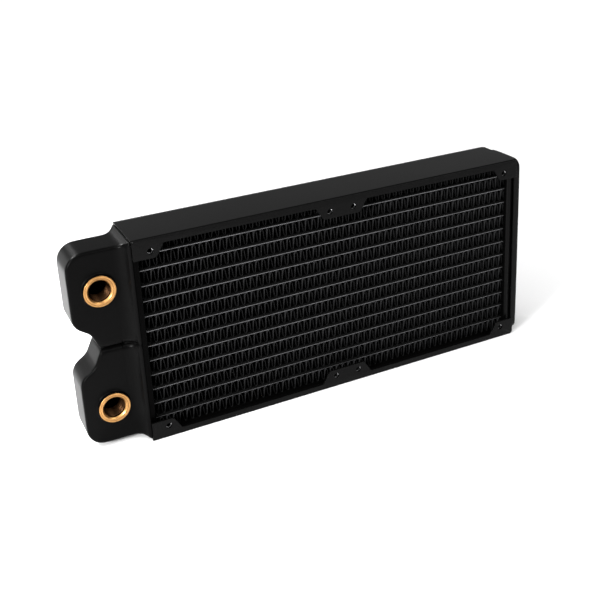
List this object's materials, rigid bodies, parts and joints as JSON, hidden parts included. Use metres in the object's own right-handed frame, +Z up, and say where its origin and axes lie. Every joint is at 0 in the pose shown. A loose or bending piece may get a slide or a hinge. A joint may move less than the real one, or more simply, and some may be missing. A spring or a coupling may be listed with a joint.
{
  "type": "liquid cooling radiator",
  "caption": "Black liquid cooling radiator for two fans side by side: flat tubes and folded fins in a folded sheet frame, with two brass-threaded ports on one end tank.",
  "frame": {"origin": "middle of the base of the bounding box, on the bottom side channel that the radiator stands on", "axes": "+X runs along the radiator from the port tank to the return tank, +Y through its thickness away from the ports' side, +Z up across its width"},
  "size_m": [0.283, 0.035, 0.119],
  "materials": {
    "black_paint": "satin",
    "tube_paint": "satin",
    "fin_paint": "satin",
    "collar_brass": "machined"
  },
  "bodies": {
    "root": {"side_channel_top": "black_paint", "side_channel_bottom": "black_paint", "header_plate_port_end": "black_paint", "header_plate_return_end": "black_paint", "port_tank_shell": "black_paint", "return_tank_shell": "black_paint", "core_side_sheet_top": "black_paint", "core_side_sheet_bottom": "black_paint", "tank_divider": "black_paint", "flat_tube_01": "tube_paint", "flat_tube_02": "tube_paint", "flat_tube_03": "tube_paint", "flat_tube_04": "tube_paint", "flat_tube_05": "tube_paint", "flat_tube_06": "tube_paint", "flat_tube_07": "tube_paint", "flat_tube_08": "tube_paint", "flat_tube_09": "tube_paint", "flat_tube_10": "tube_paint", "flat_tube_11": "tube_paint", "flat_tube_12": "tube_paint", "fin_strip_01": "fin_paint", "fin_strip_02": "fin_paint", "fin_strip_03": "fin_paint", "fin_strip_04": "fin_paint", "fin_strip_05": "fin_paint", "fin_strip_06": "fin_paint", "fin_strip_07": "fin_paint", "fin_strip_08": "fin_paint", "fin_strip_09": "fin_paint", "fin_strip_10": "fin_paint", "fin_strip_11": "fin_paint", "fin_strip_12": "fin_paint", "fin_strip_13": "fin_paint", "port_collar_upper": "collar_brass", "port_collar_lower": "collar_brass"}
  },
  "joints": []
}
